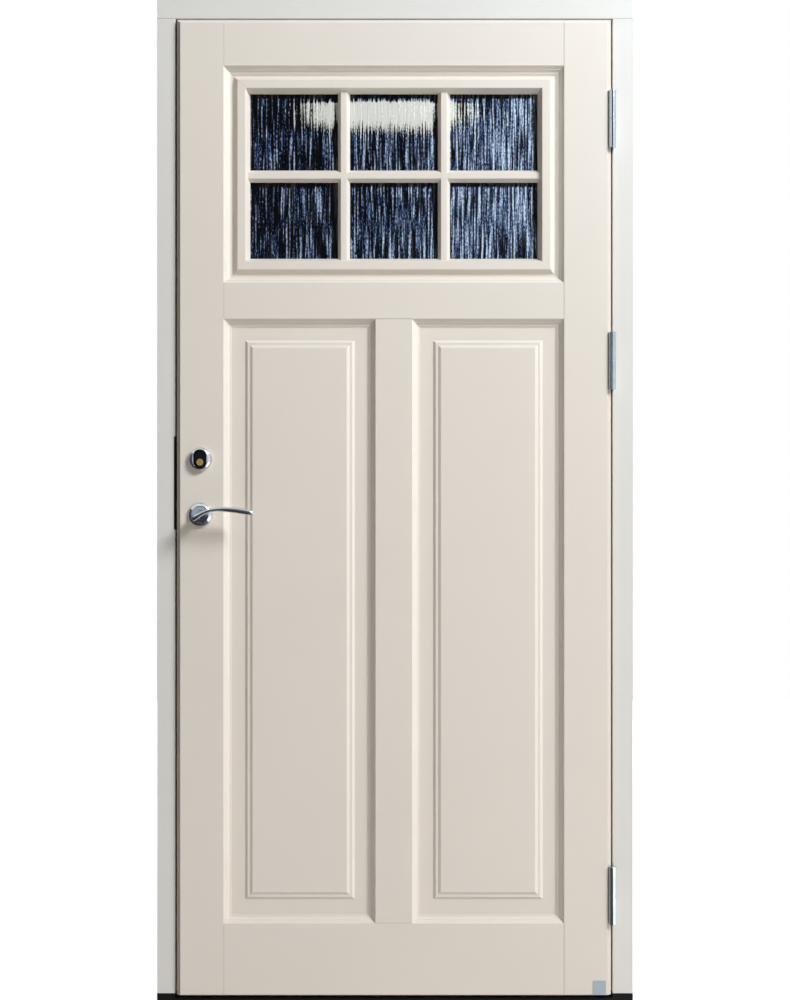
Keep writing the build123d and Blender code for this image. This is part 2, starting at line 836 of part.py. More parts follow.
def main():
    os.makedirs("parts", exist_ok=True)
    hinges = dict(zip(("bottom", "middle", "top"), [hinge_parts(z) for z in hinge_heights]))
    leaf_plates = [parts[0] for parts in hinges.values()]
    frame_plates = [parts[1] for parts in hinges.values()]
    envelope = leaf_envelope()

    hinge_side = jamb(half_width, rebate_right, stop_right)
    for cut in frame_plates:
        hinge_side -= cut
    lock_side = jamb(-half_width, rebate_left, stop_left) - strike_block()
    for cut in strike_pockets(rebate_left - strike_pocket_depth, rebate_left):
        lock_side -= cut
    save("frame_head", frame_head())
    save("frame_jamb_lock", lock_side)
    save("frame_jamb_hinge", hinge_side)
    save("threshold", threshold())
    save("frame_gasket", frame_gasket())
    save("strike_plate", strike_plate())
    for place, parts in hinges.items():
        save(f"hinge_leaf_half_{place}", parts[0])
        save(f"hinge_frame_half_{place}", parts[1])
    save("hinge_pins", [parts[2] for parts in hinges.values()])
    save("hinge_washers", [parts[3] for parts in hinges.values()])

    save("lock_stile", lock_stile(envelope, lock_bores()))
    save("hinge_stile", hinge_stile(envelope, leaf_plates))
    save("top_rail", rail(envelope, glass_top, leaf_top, ("top", glass_opening)))
    middle_sides = ("bottom", glass_opening), ("top", left_opening), ("top", right_opening)
    save("middle_rail", rail(envelope, panel_top, glass_bottom, *middle_sides))
    bottom_sides = ("bottom", left_opening), ("bottom", right_opening)
    save("bottom_rail", rail(envelope, leaf_bottom, panel_bottom, *bottom_sides))
    save("mullion", mullion())
    for place, opening in (("left", left_opening), ("right", right_opening)):
        save(f"outer_panel_{place}", raised_board(opening, leaf_front + lip_depth, -1))
        save(f"inner_panel_{place}", raised_board(opening, leaf_back - lip_depth, 1))
        save(f"panel_core_{place}", panel_core(opening))

    sides = ("left", "right", "bottom", "top")
    outer_beads = [outer_bead(side) for side in sides]
    inner_beads = [inner_bead(side) for side in sides]
    for side, bead in zip(sides, outer_beads):
        save(f"outer_bead_{side}", bead)
    save("inner_beads", inner_beads)
    for name, bar in zip(("left", "right", "cross"), glazing_bars(glass_front, -bar_height, outer_beads)):
        save(f"glazing_bar_{name}", bar)
    save("inner_glazing_bars", glazing_bars(glass_back, inner_bar_height, inner_beads))
    for index, name in enumerate(("outer", "middle", "inner")):
        save(f"glass_{name}", pane(index))
    for index, name in enumerate(("outer", "inner")):
        save(f"glass_spacer_{name}", spacer(index))
    save("glazing_subframe", glazing_subframe())
    save("setting_blocks", setting_blocks())

    save("lock_case", lock_case())
    save("lock_faceplate", lock_faceplate())
    save("lock_follower", lock_follower())
    save("latch_bolt", latch_bolt())
    save("dead_bolt", dead_bolt())
    save("bolt_cam", bolt_cam())
    save("cylinder_ring", cylinder_ring())
    save("cylinder_body", cylinder_body())
    save("cylinder_plug", cylinder_plug())
    save("thumbturn_rose", rose(plug_z, knob_neck_radius + slide_clearance, leaf_back, 1))
    save("thumbturn_knob", thumbturn_knob())
    save("outer_rose", rose(lever_z, neck_radius + slide_clearance, leaf_front, -1))
    save("inner_rose", rose(lever_z, neck_radius + slide_clearance, leaf_back, 1))
    lever = outer_lever()
    save("outer_lever", lever)
    save("inner_lever", mirror(lever, about=Plane.XZ.offset(-leaf_middle)))
    save("spindle", spindle())


main()
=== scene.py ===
import bmesh
import bpy
import json
import math
from mathutils import Matrix, Vector


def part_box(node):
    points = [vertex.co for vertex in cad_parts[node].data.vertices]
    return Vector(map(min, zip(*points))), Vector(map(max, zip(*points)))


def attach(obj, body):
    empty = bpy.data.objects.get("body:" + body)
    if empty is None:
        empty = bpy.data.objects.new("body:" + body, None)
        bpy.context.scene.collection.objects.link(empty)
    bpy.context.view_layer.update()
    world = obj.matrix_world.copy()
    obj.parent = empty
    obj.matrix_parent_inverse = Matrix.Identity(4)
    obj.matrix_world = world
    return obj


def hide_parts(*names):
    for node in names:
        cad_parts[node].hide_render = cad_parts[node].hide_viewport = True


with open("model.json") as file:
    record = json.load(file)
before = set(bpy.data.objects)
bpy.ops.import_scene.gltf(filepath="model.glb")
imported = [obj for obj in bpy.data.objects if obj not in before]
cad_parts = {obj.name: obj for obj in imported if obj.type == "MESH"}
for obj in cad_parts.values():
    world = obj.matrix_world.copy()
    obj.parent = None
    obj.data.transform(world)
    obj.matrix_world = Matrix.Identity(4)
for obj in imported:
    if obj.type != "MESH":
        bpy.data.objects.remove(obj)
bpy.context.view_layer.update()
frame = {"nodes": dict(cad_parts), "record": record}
nodes = frame["nodes"]
slotOf = {row["node"]: row["material_slot"] for row in frame["record"]["subparts"]}
bodyOf = {n: body for body, members in frame["record"]["behaviour"]["bodies"].items() for n in members}
scene = bpy.context.scene
scene.view_settings.view_transform = "Standard"
mm = 0.001
print("frame loaded:", len(nodes), "nodes")


# screen colour, 0 to 255, to the linear colour that sockets take
def tone(red, green, blue):
    out = []
    for value in (red, green, blue):
        share = value / 255
        out.append(share / 12.92 if share <= 0.04045 else ((share + 0.055) / 1.055) ** 2.4)
    return (*out, 1)


# put one node into a tree; sockets given as values or as other sockets
def put(tree, kind, inputs=None, **settings):
    node = tree.nodes.new(kind)
    for name, value in settings.items():
        setattr(node, name, value)
    for name, value in (inputs or {}).items():
        if isinstance(value, bpy.types.NodeSocket):
            tree.links.new(value, node.inputs[name])
        else:
            node.inputs[name].default_value = value
    return node


def calc(tree, operation, a, b=0.0, clamp=False):
    return put(tree, "ShaderNodeMath", {0: a, 1: b}, operation=operation, use_clamp=clamp).outputs[0]


def blendColour(tree, factor, a, b):
    return put(tree, "ShaderNodeMix", {0: factor, 6: a, 7: b}, data_type="RGBA").outputs[2]


def rescale(tree, value, low, high, toLow=0.0, toHigh=1.0):
    return put(tree, "ShaderNodeMapRange", {0: value, 1: low, 2: high, 3: toLow, 4: toHigh}).outputs[0]


noiseMiddle = 0.5


def noise(tree, vector, scale, detail=2.0, rough=0.5):
    inputs = {"Vector": vector, "Scale": scale, "Detail": detail, "Roughness": rough}
    return put(tree, "ShaderNodeTexNoise", inputs).outputs[0]


def stretch(tree, vector, scale):
    return put(tree, "ShaderNodeMapping", {"Vector": vector, "Scale": scale}).outputs[0]


def shaded(tree, colour, factor):
    return put(tree, "ShaderNodeVectorMath", {0: colour, "Scale": factor}, operation="SCALE").outputs[0]


def faceMark(tree, name):
    return put(tree, "ShaderNodeAttribute", attribute_name=name).outputs["Fac"]


def newTree(name, kind, ins, outs):
    tree = bpy.data.node_groups.new(name, kind)
    for way, rows in (("INPUT", ins), ("OUTPUT", outs)):
        for label, socket in rows:
            tree.interface.new_socket(label, in_out=way, socket_type=socket)
    return tree, tree.nodes.new("NodeGroupInput").outputs, tree.nodes.new("NodeGroupOutput").inputs


surfaceOuts = [("Colour", "NodeSocketColor"), ("Roughness", "NodeSocketFloat"), ("Height", "NodeSocketFloat")]

# sprayed satin paint: faint mottle in the colour, orange peel, patchy sheen;
# here and below each noise is named with its scale, detail and, if need be, roughness
paintTexture = {
    "cloud": (3.2, 3.0), "patch": (22.0, 3.0), "sheenFrom": (0.25, 0.75), "sheenTo": (0.36, 0.48),
    "peelDetail": 1.0, "grain": (260.0, 2.0), "grainStretch": (1, 1, 0.12), "grainShare": 0.5,
}


def makePaintGroup(settings):
    group, given, out = newTree("sprayedPaint", "ShaderNodeTree", [
        ("Vector", "NodeSocketVector"), ("Colour", "NodeSocketColor"), ("Mottle", "NodeSocketFloat"),
        ("Peel Scale", "NodeSocketFloat")], surfaceOuts)
    where = given["Vector"]
    cloud = noise(group, where, *settings["cloud"])
    mottle = calc(group, "MULTIPLY", calc(group, "SUBTRACT", cloud, noiseMiddle), given["Mottle"])
    group.links.new(shaded(group, given["Colour"], calc(group, "ADD", mottle, 1.0)), out["Colour"])
    patch = noise(group, where, *settings["patch"])
    group.links.new(rescale(group, patch, *settings["sheenFrom"], *settings["sheenTo"]), out["Roughness"])
    peel = noise(group, where, given["Peel Scale"], settings["peelDetail"])
    grain = noise(group, stretch(group, where, settings["grainStretch"]), *settings["grain"])
    raised = calc(group, "MULTIPLY", grain, settings["grainShare"])
    group.links.new(calc(group, "ADD", peel, raised), out["Height"])
    return group


# wear along broken arrises, in patches; the arris mark is 1 on the bevel faces
wearTexture = {"patch": (38.0, 3.0), "patchFrom": (0.35, 0.6), "patchTo": (0.35, 1.0)}


def makeWearGroup(settings):
    group, given, out = newTree("wornArris", "ShaderNodeTree", [
        ("Vector", "NodeSocketVector"), ("Share", "NodeSocketFloat")], [("Wear", "NodeSocketFloat")])
    patch = noise(group, given["Vector"], *settings["patch"])
    patch = rescale(group, patch, *settings["patchFrom"], *settings["patchTo"])
    worn = calc(group, "MULTIPLY", faceMark(group, "arris"), patch)
    group.links.new(calc(group, "MULTIPLY", worn, given["Share"]), out["Wear"])
    return group


# metal with drawn lines and smudges
metalTexture = {
    "smear": (45.0, 4.0), "smearMiddle": 0.42, "dullFrom": (0.3, 0.8), "dullTo": (1.0, 0.86),
    "lines": (1400.0, 2.0), "lineStretch": (1, 1, 0.04),
}


def makeMetalGroup(settings):
    group, given, out = newTree("workedMetal", "ShaderNodeTree", [
        ("Vector", "NodeSocketVector"), ("Colour", "NodeSocketColor"), ("Roughness", "NodeSocketFloat"),
        ("Smudge", "NodeSocketFloat")], surfaceOuts)
    smear = noise(group, given["Vector"], *settings["smear"])
    spread = calc(group, "MULTIPLY", calc(group, "SUBTRACT", smear, settings["smearMiddle"]), given["Smudge"])
    group.links.new(calc(group, "ADD", given["Roughness"], spread, clamp=True), out["Roughness"])
    dull = rescale(group, smear, *settings["dullFrom"], *settings["dullTo"])
    group.links.new(shaded(group, given["Colour"], dull), out["Colour"])
    lines = noise(group, stretch(group, given["Vector"], settings["lineStretch"]), *settings["lines"])
    group.links.new(lines, out["Height"])
    return group


# straight timber grain along the piece's length
grainTexture = {
    "rings": (160.0, 4.0, 0.6), "ringStretch": (1, 1, 0.05), "ringFrom": (0.3, 0.7), "ringShare": 0.6,
    "pores": (900.0, 2.0), "poreStretch": (1, 1, 0.03), "sheenFrom": (0.2, 0.8), "sheenTo": (0.4, 0.7),
}


def makeGrainGroup(settings):
    group, given, out = newTree("timberGrain", "ShaderNodeTree", [
        ("Vector", "NodeSocketVector"), ("Light", "NodeSocketColor"),
        ("Dark", "NodeSocketColor")], surfaceOuts)
    where = given["Vector"]
    rings = noise(group, stretch(group, where, settings["ringStretch"]), *settings["rings"])
    pores = noise(group, stretch(group, where, settings["poreStretch"]), *settings["pores"])
    band = rescale(group, rings, *settings["ringFrom"])
    group.links.new(blendColour(group, band, given["Light"], given["Dark"]), out["Colour"])
    group.links.new(rescale(group, pores, *settings["sheenFrom"], *settings["sheenTo"]), out["Roughness"])
    raised = calc(group, "MULTIPLY", band, settings["ringShare"])
    group.links.new(calc(group, "ADD", pores, raised), out["Height"])
    return group


paintGroup, wearGroup = makePaintGroup(paintTexture), makeWearGroup(wearTexture)
metalGroup, grainGroup = makeMetalGroup(metalTexture), makeGrainGroup(grainTexture)


def newFinish(name):
    finish = bpy.data.materials.new(name)
    finish.use_nodes = True
    return finish, finish.node_tree, finish.node_tree.nodes["Principled BSDF"]


def objectSpot(tree):
    return put(tree, "ShaderNodeTexCoord").outputs["Object"]


def place(tree, group, inputs):
    return put(tree, "ShaderNodeGroup", inputs, node_tree=group).outputs


def bumped(tree, height, strength, distance):
    inputs = {"Height": height, "Strength": strength, "Distance": distance}
    return put(tree, "ShaderNodeBump", inputs).outputs[0]


def paintFinish(name, settings):
    finish, tree, skin = newFinish(name)
    where = objectSpot(tree)
    coat = place(tree, paintGroup, {"Vector": where, "Colour": settings["colour"],
                                    "Mottle": settings["mottle"], "Peel Scale": settings["peelScale"]})
    worn = place(tree, wearGroup, {"Vector": where, "Share": settings["edgeShare"]})["Wear"]
    colour = blendColour(tree, worn, coat["Colour"], settings["edgeColour"])
    # dark joint lines, and painted shade on the stiles' outer chamfers
    colour = blendColour(tree, faceMark(tree, "seamAndShade"), colour, settings["seamAndShadeColour"])
    tree.links.new(colour, skin.inputs["Base Color"])
    tree.links.new(coat["Roughness"], skin.inputs["Roughness"])
    peel = bumped(tree, coat["Height"], settings["peel"], settings["peelDepth"])
    tree.links.new(peel, skin.inputs["Normal"])
    skin.inputs["Specular IOR Level"].default_value = settings["gloss"]
    return finish


def metalFinish(name, settings):
    finish, tree, skin = newFinish(name)
    where = objectSpot(tree)
    face = place(tree, metalGroup, {"Vector": where, "Colour": settings["colour"],
                                    "Roughness": settings["roughness"], "Smudge": settings["smudge"]})
    worn = place(tree, wearGroup, {"Vector": where, "Share": settings["edgeShare"]})["Wear"]
    tree.links.new(blendColour(tree, worn, face["Colour"], settings["edgeColour"]), skin.inputs["Base Color"])
    tree.links.new(face["Roughness"], skin.inputs["Roughness"])
    lines = bumped(tree, face["Height"], settings["lines"], settings["lineDepth"])
    tree.links.new(lines, skin.inputs["Normal"])
    skin.inputs["Metallic"].default_value = 1.0
    return finish


def grainFinish(name, settings):
    finish, tree, skin = newFinish(name)
    along = {"Vector": objectSpot(tree), "Rotation": settings["turn"]}
    turned = put(tree, "ShaderNodeMapping", along).outputs[0]
    wood = place(tree, grainGroup, {"Vector": turned, "Light": settings["light"], "Dark": settings["dark"]})
    tree.links.new(wood["Colour"], skin.inputs["Base Color"])
    tree.links.new(wood["Roughness"], skin.inputs["Roughness"])
    pores = bumped(tree, wood["Height"], settings["bump"], settings["bumpDepth"])
    tree.links.new(pores, skin.inputs["Normal"])
    return finish


# rubber, foam and moulded plastic: one speckled matte recipe
matteTexture = {
    "detail": 3.0, "sheenFrom": (0.2, 0.8), "sheenSpread": 0.08, "bump": 0.25, "bumpDepth": 0.2 * mm,
}


def matteFinish(name, settings):
    finish, tree, skin = newFinish(name)
    speck = noise(tree, objectSpot(tree), settings["speckScale"], matteTexture["detail"])
    tree.links.new(blendColour(tree, speck, settings["dark"], settings["light"]), skin.inputs["Base Color"])
    rough, spread = settings["roughness"], matteTexture["sheenSpread"]
    sheen = rescale(tree, speck, *matteTexture["sheenFrom"], rough - spread, rough + spread)
    tree.links.new(sheen, skin.inputs["Roughness"])
    grit = bumped(tree, speck, matteTexture["bump"], matteTexture["bumpDepth"])
    tree.links.new(grit, skin.inputs["Normal"])
    return finish


leafPaint = {
    "colour": tone(227, 216, 203), "mottle": 0.05, "gloss": 0.45,
    "peelScale": 420.0, "peel": 0.1, "peelDepth": 0.2 * mm,
    # seam colour: dark joint lines and painted shade on the stiles' outer chamfers
    "edgeShare": 0.35, "edgeColour": tone(240, 234, 226), "seamAndShadeColour": tone(140, 126, 112),
}
framePaint = dict(leafPaint, colour=tone(222, 217, 209), edgeColour=tone(242, 239, 234))
chrome = {
    "colour": tone(214, 217, 222), "roughness": 0.06, "smudge": 0.12, "lines": 0.02, "lineDepth": 0.05 * mm,
    "edgeShare": 0.4, "edgeColour": tone(240, 242, 245),
}
zinc = dict(chrome, colour=tone(196, 206, 212), roughness=0.16, smudge=0.2, lines=0.12)
plainSteel = dict(chrome, colour=tone(178, 180, 182), roughness=0.32, smudge=0.25, lines=0.15)
darkSteel = dict(plainSteel, colour=tone(64, 62, 60), edgeColour=tone(120, 118, 116))
blackOxide = dict(plainSteel, colour=tone(46, 46, 48), edgeColour=tone(110, 110, 112), roughness=0.3)
brass = dict(chrome, colour=tone(246, 206, 120), roughness=0.2, edgeColour=tone(246, 222, 160))
rubber = {"dark": tone(22, 22, 22), "light": tone(44, 43, 42), "speckScale": 900.0, "roughness": 0.72}
spacerPlastic = {"dark": tone(14, 14, 15), "light": tone(30, 30, 32), "speckScale": 600.0, "roughness": 0.55}
greyPlate = {
    "dark": tone(158, 170, 176), "light": tone(184, 196, 202), "speckScale": 500.0, "roughness": 0.45,
}
foam = {"dark": tone(208, 196, 160), "light": tone(238, 230, 204), "speckScale": 350.0, "roughness": 0.9}
blackTimber = {
    "light": tone(9, 9, 9), "dark": tone(4, 4, 4), "turn": (0, math.pi / 2, 0),
    "bump": 0.3, "bumpDepth": 0.3 * mm,
}
rawTimber = dict(blackTimber, light=tone(214, 182, 138), dark=tone(176, 138, 94), turn=(0, 0, 0))

clearGlass = {
    "colour": tone(222, 232, 230), "roughness": 0.02, "ior": 1.5, "film": (12.0, 3.0),
    "filmFrom": (0.3, 0.7), "filmShare": 0.25, "sheenFrom": (0.3, 0.8), "sheenSpread": 0.03,
}


def clearGlassFinish(name, settings):
    finish, tree, skin = newFinish(name)
    film = noise(tree, objectSpot(tree), *settings["film"])
    share = rescale(tree, film, *settings["filmFrom"], 0.0, settings["filmShare"])
    tree.links.new(blendColour(tree, share, settings["colour"], (1, 1, 1, 1)), skin.inputs["Base Color"])
    rough = settings["roughness"]
    sheen = rescale(tree, film, *settings["sheenFrom"], rough, rough + settings["sheenSpread"])
    tree.links.new(sheen, skin.inputs["Roughness"])
    skin.inputs["Transmission Weight"].default_value = 1.0
    skin.inputs["IOR"].default_value = settings["ior"]
    return finish


# rain glass: tones by streak height (near-black painted shade, pale crests a painted reflection), a pale
# patch of painted reflection, painted light brighter to the right, and the six lights between beads and bars,
# in metres
rainGlass = {
    "deep": tone(4, 5, 10), "blue": tone(60, 80, 120), "pale": tone(192, 207, 224),
    # cloud is the colour of the painted reflection, brighterRight the share of painted light towards the
    # right
    "cloud": tone(232, 230, 220), "stops": (0.46, 0.6, 0.9), "brighterRight": 0.48,
    "roughness": 0.08, "sheenFrom": (0.2, 0.9), "sheenSpread": 0.2, "transmission": 0.25, "ior": 1.5,
    "drops": 0.95, "dropNoise": (400.0, 2.0), "dropStretch": (1, 1, 0.42),
    # the painted reflection patch: its heights, middle, reach and lift, and the range of its share
    "patchLow": 1.782, "patchHigh": 1.848, "patchTop": 1.874, "patchEdge": 0.012,
    "patchMiddle": -0.03, "patchReach": 0.26, "patchCore": 0.4, "patchLift": 1.3, "reflectionRange": (1.1, 1.45),
    "firstLight": (-0.302, 1.55), "light": (0.1825, 0.15875), "pitch": (0.2085, 0.18475),
    "shadeWidth": 0.010, "shadeCore": 0.4, "shadeDepth": 0.42,
}


# darker strip along the far edge of each light, where beads and bars keep the light off
def lightShade(tree, along, settings, axis):
    pitch, wide = settings["pitch"][axis], settings["shadeWidth"]
    part = calc(tree, "DIVIDE", calc(tree, "SUBTRACT", along, settings["firstLight"][axis]), pitch)
    inner = settings["light"][axis] - wide
    full = inner + settings["shadeCore"] * wide
    return rescale(tree, calc(tree, "FRACT", part), inner / pitch, full / pitch)


# painted reflection: a pale patch high in the middle, fading downward and to both sides
def paintedReflection(tree, axes, settings):
    top, reach = settings["patchTop"], settings["patchReach"]
    rise = rescale(tree, axes["Z"], settings["patchLow"], settings["patchHigh"])
    rise = calc(tree, "MULTIPLY", rise, rescale(tree, axes["Z"], top + settings["patchEdge"], top))
    offCentre = calc(tree, "ABSOLUTE", calc(tree, "SUBTRACT", axes["X"], settings["patchMiddle"]))
    middle = rescale(tree, offCentre, reach, reach * settings["patchCore"])
    return calc(tree, "MULTIPLY", calc(tree, "MULTIPLY", rise, middle), settings["patchLift"])


# cast rain pattern: the pane's own streak attribute drives tint and gloss; the tint is painted, near-black
# shade with a pale painted reflection on the crests
def rainGlassFinish(name, settings):
    finish, tree, skin = newFinish(name)
    where = objectSpot(tree)
    axes = put(tree, "ShaderNodeSeparateXYZ", {0: where}).outputs
    drops = noise(tree, stretch(tree, where, settings["dropStretch"]), *settings["dropNoise"])
    drops = calc(tree, "MULTIPLY", calc(tree, "SUBTRACT", drops, noiseMiddle), settings["drops"])
    value = calc(tree, "ADD", faceMark(tree, "streak"), drops)
    # painted light: streaks brighter towards the right
    value = calc(tree, "ADD", value, calc(tree, "MULTIPLY", axes["X"], settings["brighterRight"]))
    across, up = (lightShade(tree, axes[letter], settings, axis) for axis, letter in enumerate("XZ"))
    shade = calc(tree, "MULTIPLY", calc(tree, "MAXIMUM", across, up), settings["shadeDepth"])
    value = calc(tree, "SUBTRACT", value, shade)
    # ramp from near-black painted shade through blue to the pale painted reflection
    ramp = put(tree, "ShaderNodeValToRGB", {0: value})
    stops = ramp.color_ramp.elements
    low, middle, high = settings["stops"]
    stops[0].position, stops[0].color = low, settings["deep"]
    stops[1].position, stops[1].color = high, settings["pale"]
    stops.new(middle).color = settings["blue"]
    # share of the pale painted reflection colour, from the crests and the patch high up
    reflectionShare = rescale(tree, calc(tree, "ADD", paintedReflection(tree, axes, settings), value), *settings["reflectionRange"])
    tree.links.new(blendColour(tree, reflectionShare, ramp.outputs[0], settings["cloud"]), skin.inputs["Base Color"])
    rough = settings["roughness"]
    sheen = rescale(tree, value, *settings["sheenFrom"], rough, rough + settings["sheenSpread"])
    tree.links.new(sheen, skin.inputs["Roughness"])
    skin.inputs["Transmission Weight"].default_value = settings["transmission"]
    skin.inputs["IOR"].default_value = settings["ior"]
    return finish


finishes = {
    "leaf_paint": paintFinish("leafPaint", leafPaint),
    "frame_paint": paintFinish("framePaint", framePaint),
    "threshold_black": grainFinish("blackTimber", blackTimber),
    "raw_timber": grainFinish("rawTimber", rawTimber),
    "gasket_rubber": matteFinish("gasketRubber", rubber),
    "spacer_plastic": matteFinish("spacerPlastic", spacerPlastic),
    "core_foam": matteFinish("coreFoam", foam),
    "dark_steel": metalFinish("darkSteel", darkSteel),
    "hinge_steel": metalFinish("hingeZinc", zinc),
    "lock_steel": metalFinish("plainSteel", plainSteel),
    "handle_chrome": metalFinish("polishedChrome", chrome),
    "cylinder_dark": metalFinish("blackOxide", blackOxide),
    "plug_brass": metalFinish("plugBrass", brass),
    "pane_glass": clearGlassFinish("clearGlass", clearGlass),
}
rainFinish = rainGlassFinish("rainGlass", rainGlass)
for name, node in nodes.items():
    node.material_slots[0].material = finishes[slotOf[name]]
print("finishes set on", len(nodes), "nodes")


def addPiece(name, mesh, finish, body, stands=()):
    piece = bpy.data.objects.new(name, mesh)
    scene.collection.objects.link(piece)
    if finish and not mesh.materials:
        mesh.materials.append(finish)
    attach(piece, body)
    if stands:
        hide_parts(*stands)
    return piece


roundBevel = 0.5


def meshFrom(form, name):
    mesh = bpy.data.meshes.new(name)
    form.to_mesh(mesh)
    form.free()
    return mesh


def smoothed(mesh, angle):
    mesh.shade_smooth()
    mesh.set_sharp_from_angle(angle=angle)


# hardware and painted timber: a merged copy with its arrises broken (bevel in millimetres for each slot)
brokenArris = {
    "hinge_steel": 0.35, "handle_chrome": 0.35, "cylinder_dark": 0.3, "plug_brass": 0.3, "leaf_paint": 0.7,
    "frame_paint": 0.8, "segments": 2, "angle": math.radians(16), "sharpAngle": math.radians(40),
    "mergeDistance": 1e-6, "flatAngle": 0.01,
    "shoulderAxis": {"top_rail": 0, "middle_rail": 0, "bottom_rail": 0, "mullion": 2},
    # painted shade on the stiles' outer chamfers (side, share of the seam colour): darker on the lock stile,
    # a dimmed highlight on the hinge stile
    "dullEdge": {"lock_stile": (-1, 0.5), "hinge_stile": (1, 0.22)}, "edgeStart": 0.44,
    "leaning": 0.3, "level": 0.2,
    "skinned": ("outer_lever", "inner_lever", "outer_rose", "inner_rose", "thumbturn_rose", "cylinder_ring"),
}


# shoulders of rails and mullion are dark joint lines, the stiles' outer chamfers get painted shade, other
# bevels worn
def markFaces(form, bevels, name, settings):
    arris, seamAndShade = form.faces.layers.float["arris"], form.faces.layers.float["seamAndShade"]
    leaning = settings["leaning"]
    axis = settings["shoulderAxis"].get(name)
    for face in bevels:
        face.normal_update()
        closed = (axis is not None and abs(face.normal[axis]) > leaning
                  and abs(face.normal[2 - axis]) < settings["level"])
        face[arris], face[seamAndShade] = (0.0, 1.0) if closed else (1.0, 0.0)
    # painted shade on the outer chamfer of each stile, in the seam colour
    side, share = settings["dullEdge"].get(name, (0, 0))
    for face in form.faces:
        turned = face.normal.y < -leaning and face.normal.x * side > leaning
        if turned and face.calc_center_median().x * side > settings["edgeStart"]:
            face[arris], face[seamAndShade] = 0.0, share


def softenedCopy(name, settings):
    mesh = nodes[name].data.copy()
    mesh.name = name + "Soft"
    for extra in ("custom_normal", "sharp_face"):
        if extra in mesh.attributes:
            mesh.attributes.remove(mesh.attributes[extra])
    form = bmesh.new()
    form.from_mesh(mesh)
    bmesh.ops.remove_doubles(form, verts=form.verts, dist=settings["mergeDistance"])
    bmesh.ops.dissolve_limit(form, angle_limit=settings["flatAngle"], verts=form.verts, edges=form.edges)
    for mark in ("arris", "seamAndShade"):
        form.faces.layers.float.new(mark)
    hard = [e for e in form.edges if e.is_manifold and e.calc_face_angle() > settings["angle"]]
    made = bmesh.ops.bevel(form, geom=hard, offset=settings[slotOf[name]] * mm, offset_type="OFFSET",
                           segments=settings["segments"], profile=roundBevel, affect="EDGES",
                           clamp_overlap=True)
    markFaces(form, made["faces"], name, settings)
    form.to_mesh(mesh)
    form.free()
    smoothed(mesh, settings["sharpAngle"])
    piece = addPiece(name + "Soft", mesh, None, bodyOf[name], (name,))
    even = piece.modifiers.new("evenNormals", "WEIGHTED_NORMAL")
    even.keep_sharp = True
    return piece


for name in sorted(nodes):
    if slotOf[name] in brokenArris and name not in brokenArris["skinned"]:
        softenedCopy(name, brokenArris)
print("arrises broken")


# cast lever: top and bottom points of each section, half depth, all in millimetres from the spindle axis
lever = {
    "sections": (
        ((-12.6, -6.6), (-8.4, -13.2), 2.6), ((-11.4, -4.2), (-5.6, -13.2), 5.2), ((-5, 0.4), (2, -7.6), 7.2),
        ((6, 6.6), (12, -0.6), 7.9), ((20, 12.0), (25, 5.4), 7.7), ((36, 15.2), (38, 7.4), 7.2),
        ((52, 16.4), (52, 6.7), 7.2), ((68, 16.4), (67, 4.7), 7.4), ((84, 15.2), (82, 2.4), 7.3),
        ((97, 12.7), (95, 0.4), 6.7), ((107, 10.0), (105.5, -0.8), 5.7), ((113, 7.4), (112, 0.2), 4.2),
        ((115.6, 5.2), (115.2, 2.2), 1.8),
    ),
    "roundness": 2.5, "lean": 0.15, "points": 20, "levels": 2,
    "axis": (-403, 1016), "standOff": 48, "neckRadius": 8.5, "neckPoints": 64,
}
leafFaces = {"front": -69.5, "back": -1.5}
skinAngle = math.radians(40)


def ringSection(top, bottom, depth, settings):
    middle = (Vector(top) + Vector(bottom)) / 2
    half = (Vector(top) - Vector(bottom)) / 2
    power = 2 / settings["roundness"]
    out = []
    for step in range(settings["points"]):
        turn = 2 * math.pi * step / settings["points"]
        across, up = math.cos(turn), math.sin(turn)
        tall = math.copysign(abs(up) ** power, up)
        deep = math.copysign(abs(across) ** power, across) * depth - settings["lean"] * half.length * tall
        spot = middle + half * tall
        out.append((spot.x, deep, spot.y))
    return out


def leverArm(settings):
    form = bmesh.new()
    rings = [[form.verts.new(p) for p in ringSection(*row, settings)] for row in settings["sections"]]
    count = settings["points"]
    for a, b in zip(rings, rings[1:]):
        for i in range(count):
            form.faces.new((a[i], a[(i + 1) % count], b[(i + 1) % count], b[i]))
    for ring in (rings[0], rings[-1]):
        tip = form.verts.new(sum((v.co for v in ring), Vector()) / count)
        for i in range(count):
            form.faces.new((ring[i], ring[(i + 1) % count], tip))
    bmesh.ops.recalc_face_normals(form, faces=form.faces)
    return meshFrom(form, "leverArm")


def rodMesh(radius, start, end, points):
    form = bmesh.new()
    bmesh.ops.create_cone(form, cap_ends=True, segments=points, radius1=radius, radius2=radius,
                          depth=end - start)
    bmesh.ops.rotate(form, verts=form.verts, cent=(0, 0, 0), matrix=Matrix.Rotation(math.pi / 2, 3, "X"))
    bmesh.ops.translate(form, verts=form.verts, vec=(0, (start + end) / 2, 0))
    return meshFrom(form, "neckRod")


def evaluatedMesh(piece, name):
    graph = bpy.context.evaluated_depsgraph_get()
    graph.update()
    mesh = bpy.data.meshes.new_from_object(piece.evaluated_get(graph), depsgraph=graph)
    mesh.name = name
    return mesh


